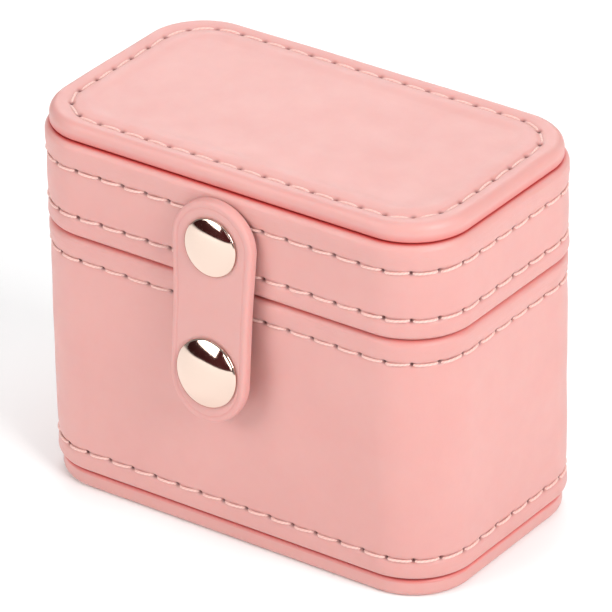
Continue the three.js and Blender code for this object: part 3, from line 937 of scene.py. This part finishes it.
def make_strap():
    half_length = (STRAP_TOP - STRAP_FOOT) / 2
    middle_z = (STRAP_TOP + STRAP_FOOT) / 2
    columns = 260
    outline, normals, _ = rounded_outline(STRAP_HALF, half_length, STRAP_HALF - 1e-6, columns)
    rings = [(-5.0, 0.0), (-2.5, 0.0)]
    rings += arc(-STRAP_EDGE, STRAP_EDGE, STRAP_EDGE, -90, 0)
    rings += arc(-STRAP_EDGE, STRAP_SKIN - STRAP_EDGE, STRAP_EDGE, 0, 90)
    for inset in np.arange(0.75, 1.6, 0.1):
        rings.append((-inset, STRAP_SKIN - TOOL_DEPTH * float(bell(inset - TOOL_INSET, 0.13))))
    rings += [(-inset, STRAP_SKIN) for inset in np.arange(1.8, 7.3, 0.3)]
    reach = half_length - STRAP_HALF
    spine = np.column_stack([np.zeros(columns), np.clip(outline[:, 1], -reach, reach)])
    stack = [np.column_stack([spine, np.full(columns, 0.0)])]
    stack += [np.column_stack([outline + out * normals, np.full(columns, depth)]) for out, depth in rings]
    stack += [np.column_stack([spine, np.full(columns, STRAP_SKIN)])]
    flat = np.vstack(stack)
    z = flat[:, 1] + middle_z
    waist = np.clip((STRAP_TOP - STRAP_HALF + 3 - z) / 16.0, 0, 1)
    flat[:, 0] *= HEAD_WIDER - WAIST_NARROWER * (3 * waist**2 - 2 * waist**3)
    front = flat[:, 2] > STRAP_SKIN - 0.2
    swell = unevenness(np.column_stack([flat[:, 0], z, 0 * z]), 5, 0.03, 14.0) * front
    for cap_z, radius in ((rivet_z, rivet_radius), (stud_z, snap_radius)):
        beside = np.hypot(flat[:, 0], z - cap_z) - radius
        swell -= CAP_DISH * front / (1 + np.exp(beside / DISH_EDGE))
    points = np.column_stack([flat[:, 0], strap_back(z) - flat[:, 2] - swell, z])
    # The tool's groove gets a faint painted shade, a tenth of the way to the seams' painted-shade colour.
    line = [float(bell(-out - TOOL_INSET, 0.16)) * (depth > STRAP_SKIN / 2) for out, depth in rings]
    none = np.zeros(len(points))
    attributes = {"seam": 0.10 * np.repeat([0.0, *line, 0.0], columns), "hole": none, "rim": none}
    faces = ring_faces(len(points) // columns, columns, False)
    return finish_mesh("strap", points, faces, strap_leather, attributes, merge=MERGE)


strap = make_strap()
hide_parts("strap_head", "strap_flap")
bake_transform(strap)
print("strap", len(strap.data.polygons), "faces, lean", round(math.degrees(strap_lean(stud_z)), 1))

# %% [markdown]
# ## Caps, stud and socket
# These are turned and pressed parts, so each is a profile spun round its axis. A cap is a shallow dome whose
# rim rolls back under itself, which leaves the thin dark line between metal and leather.

# %% Turned parts and caps
CAP_STEPS, SMALL_STEPS = 96, 72  # round a cap, and round the smaller parts
CAP_ROLL = 0.42
CAP_SHANK = 1.2
CAP_FULLNESS = 2.3  # a higher power keeps the dome flat for longer before it falls to its rim
RIVET_DOME, SNAP_DOME = 1.5, 1.85


def turned(name, profile, seat, material, steps=SMALL_STEPS):
    """Spins (radius, height) pairs round the seat's +Z axis."""
    angles = np.linspace(0, math.tau, steps, endpoint=False)
    points = [(r * math.cos(a), r * math.sin(a), h) for r, h in profile for a in angles]
    piece = finish_mesh(name, points, ring_faces(len(profile), steps, False), material, merge=MERGE / 2)
    piece.data.transform(seat)
    return piece


def strap_seat(z, sunk=0.0):
    """A seat `sunk` below the strap's face at height z, its +Z square to the leather."""
    lean = strap_lean(z)
    out = Vector((0, -math.cos(lean), math.sin(lean)))
    side = Vector((1, 0, 0))
    turn = Matrix((side, out.cross(side), out)).transposed().to_4x4()
    return Matrix.Translation((Vector((0, strap_back(z) - STRAP_SKIN, z)) - out * sunk) * MM) @ turn


def dome(radius, height):
    """A pressed cap: shank, hollow underside, rolled rim and dome."""
    profile = [(0, -CAP_SHANK), (1.3, -CAP_SHANK), (1.4, -CAP_SHANK + 0.1), (1.4, 0.12), (radius - 1.1, 0.12)]
    profile += arc(radius - CAP_ROLL, CAP_ROLL, CAP_ROLL, -110, 20, 8)
    rim_radius, rim_height = profile[-1]
    for share in np.linspace(0, 1, 22)[1:]:
        rise = 1 - (1 - share) ** CAP_FULLNESS
        profile.append((rim_radius * (1 - share), rim_height + (height - rim_height) * rise))
    return profile


rivet_dome, snap_dome = dome(rivet_radius, RIVET_DOME), dome(snap_radius, SNAP_DOME)
rivet_cap = turned("rivet_dome", rivet_dome, strap_seat(rivet_z, CAP_DISH), rose_gold, CAP_STEPS)
stand_in(rivet_cap, "rivet_cap", "lid")
snap_cap = turned("snap_dome", snap_dome, strap_seat(stud_z, CAP_DISH), rose_gold, CAP_STEPS)
stand_in(snap_cap, "snap_cap", "flap")
print("caps at heights", round(rivet_z, 1), round(stud_z, 1))


# %% [markdown]
# The rest of the hardware shows only when the strap is open. The socket is a ring rolled round a mouth,
# and the stud a post with a bead that the mouth springs over. The rivet's back is a small plate inside
# the lid. Each profile runs from the axis, or from the mouth, round the metal and back.

# %% Socket
socket_mouth = [(1.7, -2.08), (1.7, -2.65), (2.4, -2.7), (2.95, -2.85)]
socket_lip = [(3.1, -3.1), (3.1, -3.45), (3.2, -3.55), (3.6, -3.55), (3.85, -3.45)]
socket_plate = [(4.1, -3.1), (4.6, -2.75), (4.8, -2.6), (4.85, -2.4), (4.8, -2.12), (4.6, -2.08)]
socket_profile = socket_mouth[1:] + socket_lip + socket_plate + socket_mouth[:2]
snap_socket = turned("snap_socket_ring", socket_profile, strap_seat(stud_z), rose_gold)
stand_in(snap_socket, "snap_socket", "flap")

# %% Stud
wall_seat = Matrix.Translation(Vector((0, -HALF_DEPTH, stud_z)) * MM) @ Matrix.Rotation(math.pi / 2, 4, "X")
stud_shank = [(0, -0.9), (1.4, -0.9), (1.4, 0.05)]
stud_plate = [(3.9, 0.05), (4.3, 0.08), (4.4, 0.15), (4.3, 0.22), (3.4, 0.28), (2.9, 0.36), (2.5, 0.5)]
stud_bead = [(2.25, 0.7), (2.35, 0.95), (2.5, 1.1), (2.45, 1.25), (2.2, 1.42)]
stud_top = [(1.7, 1.54), (0.9, 1.58), (0, 1.59)]
stud = turned("stud_post", stud_shank + stud_plate + stud_bead + stud_top, wall_seat, rose_gold)
stand_in(stud, "stud", "base")

# %% Rivet back
back_low, back_high = span("rivet_back")
back_middle = Vector((back_low + back_high) / 2)
back_middle.y = back_low[1] + 0.25
back_seat = Matrix.Translation(back_middle * MM) @ Matrix.Rotation(-math.pi / 2, 4, "X")
back_plate = [(0, 0), (3.2, 0), (3.7, 0.08), (3.85, 0.25), (3.8, 0.45), (3.4, 0.66), (2.6, 0.78)]
back_dimple = [(1.6, 0.86), (1.35, 0.78), (1.0, 0.72), (0, 0.7)]
rivet_back = turned("rivet_back_cap", back_plate + back_dimple, back_seat, rose_gold)
stand_in(rivet_back, "rivet_back", "lid")
print("socket, stud and rivet back", [len(p.data.polygons) for p in (snap_socket, stud, rivet_back)], "faces")

# %% [markdown]
# ## The lining
# Inside, the boards are covered in short velvet. The collar's velvet goes up the inside, over the rounded
# top and a little way down the outside, where the lid will slide over it. The lid's own walls are
# lined too.

# %% Lining bands
BAND_COLUMNS = 240
COLLAR_WALL = 1.8  # board and velvet together, from the collar's outside to the well
COLLAR_BOARD = 1.25
PILE = 0.15
CLEARANCE = 0.02  # between the velvet's back and the board
LID_LINING = 0.5


def velvet_band(name, profile):
    """A closed band of velvet that follows the plan. The profile is (out, height) round its section."""
    around, normals, _ = rounded_outline(HALF_WIDTH, HALF_DEPTH, CORNER, BAND_COLUMNS)
    rings = [np.column_stack([around + out * normals, np.full(BAND_COLUMNS, z)]) for out, z in profile]
    return finish_mesh(name, np.vstack(rings), ring_faces(len(profile), BAND_COLUMNS, True), blush_velvet)


collar_high = span("collar_board")[1]
well_foot = span("collar_lining")[0][2]
COLLAR_OUT = collar_high[0] - HALF_WIDTH
WELL_OUT = COLLAR_OUT - COLLAR_WALL
collar_top = collar_high[2] + 0.2
collar_profile = [(WELL_OUT, well_foot)]
collar_profile += [(WELL_OUT, z) for z in np.linspace(well_foot + 3, collar_top - 1.0, 12)]
collar_round = (COLLAR_OUT + PILE - WELL_OUT) / 2
collar_profile += arc(WELL_OUT + collar_round, collar_top - collar_round, collar_round, 180, 0, 12)
board_out, board_in = COLLAR_OUT + CLEARANCE, COLLAR_OUT - COLLAR_BOARD
velvet_end = base_high[2] - 0.1
collar_profile += [(COLLAR_OUT + PILE, velvet_end), (board_out, velvet_end)]
collar_profile += [(board_out, collar_high[2] + CLEARANCE), (board_in, collar_high[2] + CLEARANCE)]
collar_profile += [(board_in, well_foot)]
collar = velvet_band("collar_velvet", collar_profile)
stand_in(collar, "collar_lining", "base")

lid_lining_low, lid_lining_high = span("lid_side_lining")
lining_foot, lining_top = lid_lining_low[2], lid_lining_high[2]
LID_LINING_OUT = lid_lining_high[0] - HALF_WIDTH
lid_profile = [(LID_LINING_OUT, lining_foot), (LID_LINING_OUT, lining_top)]
lid_profile += [(LID_LINING_OUT - LID_LINING, z) for z in np.linspace(lining_top, lining_foot + 0.3, 8)]
lid_profile += [(LID_LINING_OUT - 0.35, lining_foot)]
lid_lining = velvet_band("lid_side_velvet", lid_profile)
stand_in(lid_lining, "lid_side_lining", "lid")
print("linings", len(collar.data.polygons), len(lid_lining.data.polygons), "faces")


# %% [markdown]
# ## Soft fittings
# The pad under the lid, the block and the rolls are foam under velvet. Each starts a little slim, is given
# an even skin of small faces, and is blown up by Blender's cloth until the velvet is tight. The simulation
# runs at twenty times life size, because cloth settings are made for furniture and not for a ring box.

# %% Padding
SIM_SCALE = 20.0
SIM_FRAMES = 20


def bake_modifiers(piece):
    """Replaces the piece's mesh by what its modifiers make of it, and takes the modifiers off."""
    depsgraph = bpy.context.evaluated_depsgraph_get()
    made = bpy.data.meshes.new_from_object(piece.evaluated_get(depsgraph), depsgraph=depsgraph)
    piece.modifiers.clear()
    piece.data = made
    made.update()


def read_points(mesh):
    points = np.zeros(len(mesh.vertices) * 3)
    mesh.vertices.foreach_get("co", points)
    return points.reshape(-1, 3)


def pad_out(piece, voxel, pressure, most):
    """Swells a closed mesh with cloth pressure, by no more than `most`. Lengths are in millimetres."""
    piece.data.transform(Matrix.Scale(SIM_SCALE, 4))
    mesh = piece.data
    bpy.context.view_layer.update()
    remesh = piece.modifiers.new("even skin", "REMESH")
    remesh.mode = "VOXEL"
    remesh.voxel_size = voxel * MM * SIM_SCALE
    bake_modifiers(piece)
    start = read_points(piece.data)
    cloth = piece.modifiers.new("foam", "CLOTH")
    cloth.settings.use_pressure = True
    cloth.settings.uniform_pressure_force = pressure
    cloth.settings.effector_weights.gravity = 0
    cloth.settings.tension_stiffness = 12
    cloth.settings.bending_stiffness = 0.6
    scene = bpy.context.scene
    for step in range(1, SIM_FRAMES + 1):
        scene.frame_set(step)
    bake_modifiers(piece)
    scene.frame_set(1)
    moved = read_points(piece.data) - start
    length = np.linalg.norm(moved, axis=1, keepdims=True)
    limit = most * MM * SIM_SCALE
    moved *= np.minimum(1, limit / np.maximum(length, 1e-9))
    piece.data.vertices.foreach_set("co", (start + moved).ravel())
    reached = min(most, float(length.max()) / MM / SIM_SCALE)
    print(piece.name, "swelled by up to", round(reached, 2), "mm")
    smooth = piece.modifiers.new("smooth", "SUBSURF")
    smooth.levels = smooth.render_levels = 1
    bake_modifiers(piece)
    piece.data.transform(Matrix.Scale(1 / SIM_SCALE, 4))
    piece.data.polygons.foreach_set("use_smooth", [True] * len(piece.data.polygons))
    bpy.data.meshes.remove(mesh)


def soft_copy(name, node, shrink):
    """A copy of a node's mesh, its loose triangles merged, drawn in by `shrink` along its normals."""
    piece = bpy.data.objects.new(name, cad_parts[node].data.copy())
    bpy.context.scene.collection.objects.link(piece)
    bm = bmesh.new()
    bm.from_mesh(piece.data)
    bmesh.ops.remove_doubles(bm, verts=bm.verts, dist=0.01 * MM)
    bm.normal_update()
    for vertex in bm.verts:
        vertex.co -= vertex.normal * shrink * MM
    bm.to_mesh(piece.data)
    bm.free()
    piece.data.materials.clear()
    piece.data.materials.append(blush_velvet)
    return piece


# %% [markdown]
# Each soft piece has its own mix of how much it is slimmed first, how fine its skin is, how hard it is
# blown up and how far it may swell, because a roll is round already and a pad is a flat slab.

# %% Soft pieces
ROLL = {"shrink": 0.8, "voxel": 0.55, "pressure": 3.0, "most": 0.7, "body": "base"}
SOFT_PIECES = {
    "ring_roll_1": ROLL,
    "ring_roll_2": ROLL,
    "ring_roll_3": ROLL,
    "ring_block": {"shrink": 0.6, "voxel": 0.9, "pressure": 2.0, "most": 0.5, "body": "base"},
    "lid_pad": {"shrink": 0.5, "voxel": 0.7, "pressure": 2.5, "most": 0.8, "body": "lid"},
}
for node, how in SOFT_PIECES.items():
    cushion = soft_copy(node + "_velvet", node, how["shrink"])
    pad_out(cushion, how["voxel"], how["pressure"], how["most"])
    stand_in(cushion, node, how["body"])
    print(cushion.name, len(cushion.data.polygons), "faces")


# %% [markdown]
# The divider and the floor are card wrapped in velvet, so they keep straight sides and only their edges are
# soft. A Bevel modifier on a merged copy of the node gives that.

# %% Wrapped cards
def wrapped_card(name, node, edge):
    """A copy of one of the base's nodes in velvet, its edges rounded by `edge`."""
    piece = soft_copy(name, node, 0.0)
    bevel = piece.modifiers.new("soft edge", "BEVEL")
    bevel.width = edge * MM
    bevel.segments = 4
    bevel.limit_method = "ANGLE"
    bake_modifiers(piece)
    piece.data.polygons.foreach_set("use_smooth", [True] * len(piece.data.polygons))
    stand_in(piece, node, "base")
    print(piece.name, len(piece.data.polygons), "faces")


wrapped_card("divider_velvet", "divider", 0.6)
wrapped_card("floor_velvet", "floor_lining", 0.25)


# %% [markdown]
# ## The hinge
# A strip of leather is glued in behind both skins, across the seam at the back. Only the line at the bottom
# of the groove shows while the lid is shut. On the case itself, the strip bends as the lid opens and holds
# the two halves together.

# %% Hinge strip
HINGE_GAP = 0.05
HINGE_SKIN = 0.5


def make_hinge():
    low, high = span("hinge_strip")
    columns, rows = 28, 60
    outer = HALF_DEPTH - SKIN - HINGE_GAP
    xs = np.linspace(low[0], high[0], columns)
    zs = np.linspace(low[2], high[2], rows)
    section = [(x, outer) for x in xs] + [(x, outer - HINGE_SKIN) for x in xs[::-1]]
    points = np.vstack([[(x, y, z) for x, y in section] for z in zs])
    faces = ring_faces(rows, len(section), False)
    last = (rows - 1) * len(section)
    for ring in (0, last):
        for i in range(columns - 1):
            mirror = len(section) - 1 - i
            faces.append((ring + i, ring + i + 1, ring + mirror - 1, ring + mirror))
    zeros = np.zeros(len(points))
    # The whole strip is darkened a quarter of the way to the seams' colour: painted shade for the bottom of
    # the groove where it shows.
    attributes = {"seam": zeros + 0.25, "hole": zeros, "rim": zeros}
    return finish_mesh("hinge_leather", points, faces, pink_leather, attributes)


hinge = make_hinge()
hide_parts("hinge_strip")
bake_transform(hinge)

# %% [markdown]
# ## Boards and washer
# The boards and the stud's washer keep their shapes from the frame, and only need their finish. The board
# under the lid's pad shows in a thin line round the pad, where the pad's velvet is turned over it.

# %% Finishes of the kept nodes
KEPT = {
    "base_floor_board": backing_board,
    "base_wall_board": backing_board,
    "collar_board": backing_board,
    "lid_wall_board": backing_board,
    "lid_top_board": blush_velvet,
    "stud_washer": nickelled_steel,
}
for node, material in KEPT.items():
    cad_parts[node].data.materials.clear()
    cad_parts[node].data.materials.append(material)
print("kept", {node: material.name for node, material in KEPT.items()})


# %% [markdown]
# ## The floor and the card
# The floor is pale and matt. The dark card stands behind the camera, where only polished metal sees it.

# %% Stage
FLOOR_HALF = 6.0
CARD_Y, CARD_HEIGHT = -0.92, 0.62
CARD_LEFT, CARD_RIGHT = -1.75, 0.55


def plane(name, corners, material):
    mesh = bpy.data.meshes.new(name)
    mesh.from_pydata(corners, [], [tuple(range(len(corners)))])
    mesh.materials.append(material)
    obj = bpy.data.objects.new(name, mesh)
    bpy.context.scene.collection.objects.link(obj)
    return obj


pale_floor = Finish("pale_floor", Base_Color=(0.94, 0.965, 0.97, 1), Roughness=0.85).material
floor_corners = [(sx * FLOOR_HALF, sy * FLOOR_HALF, 0) for sx, sy in ((-1, -1), (1, -1), (1, 1), (-1, 1))]
floor = plane("floor", floor_corners, pale_floor)

dark_card = Finish("dark_card", Base_Color=(0.06, 0.002, 0.004, 1), Roughness=1.0).material
card_corners = [(CARD_LEFT, CARD_Y, 0.0), (CARD_RIGHT, CARD_Y, 0.0)]
card_corners += [(CARD_RIGHT, CARD_Y, CARD_HEIGHT), (CARD_LEFT, CARD_Y, CARD_HEIGHT)]
card = plane("reflection_card", card_corners, dark_card)
card.visible_camera = False
card.visible_diffuse = False
card.visible_shadow = False
print("stage", floor.name, card.name)
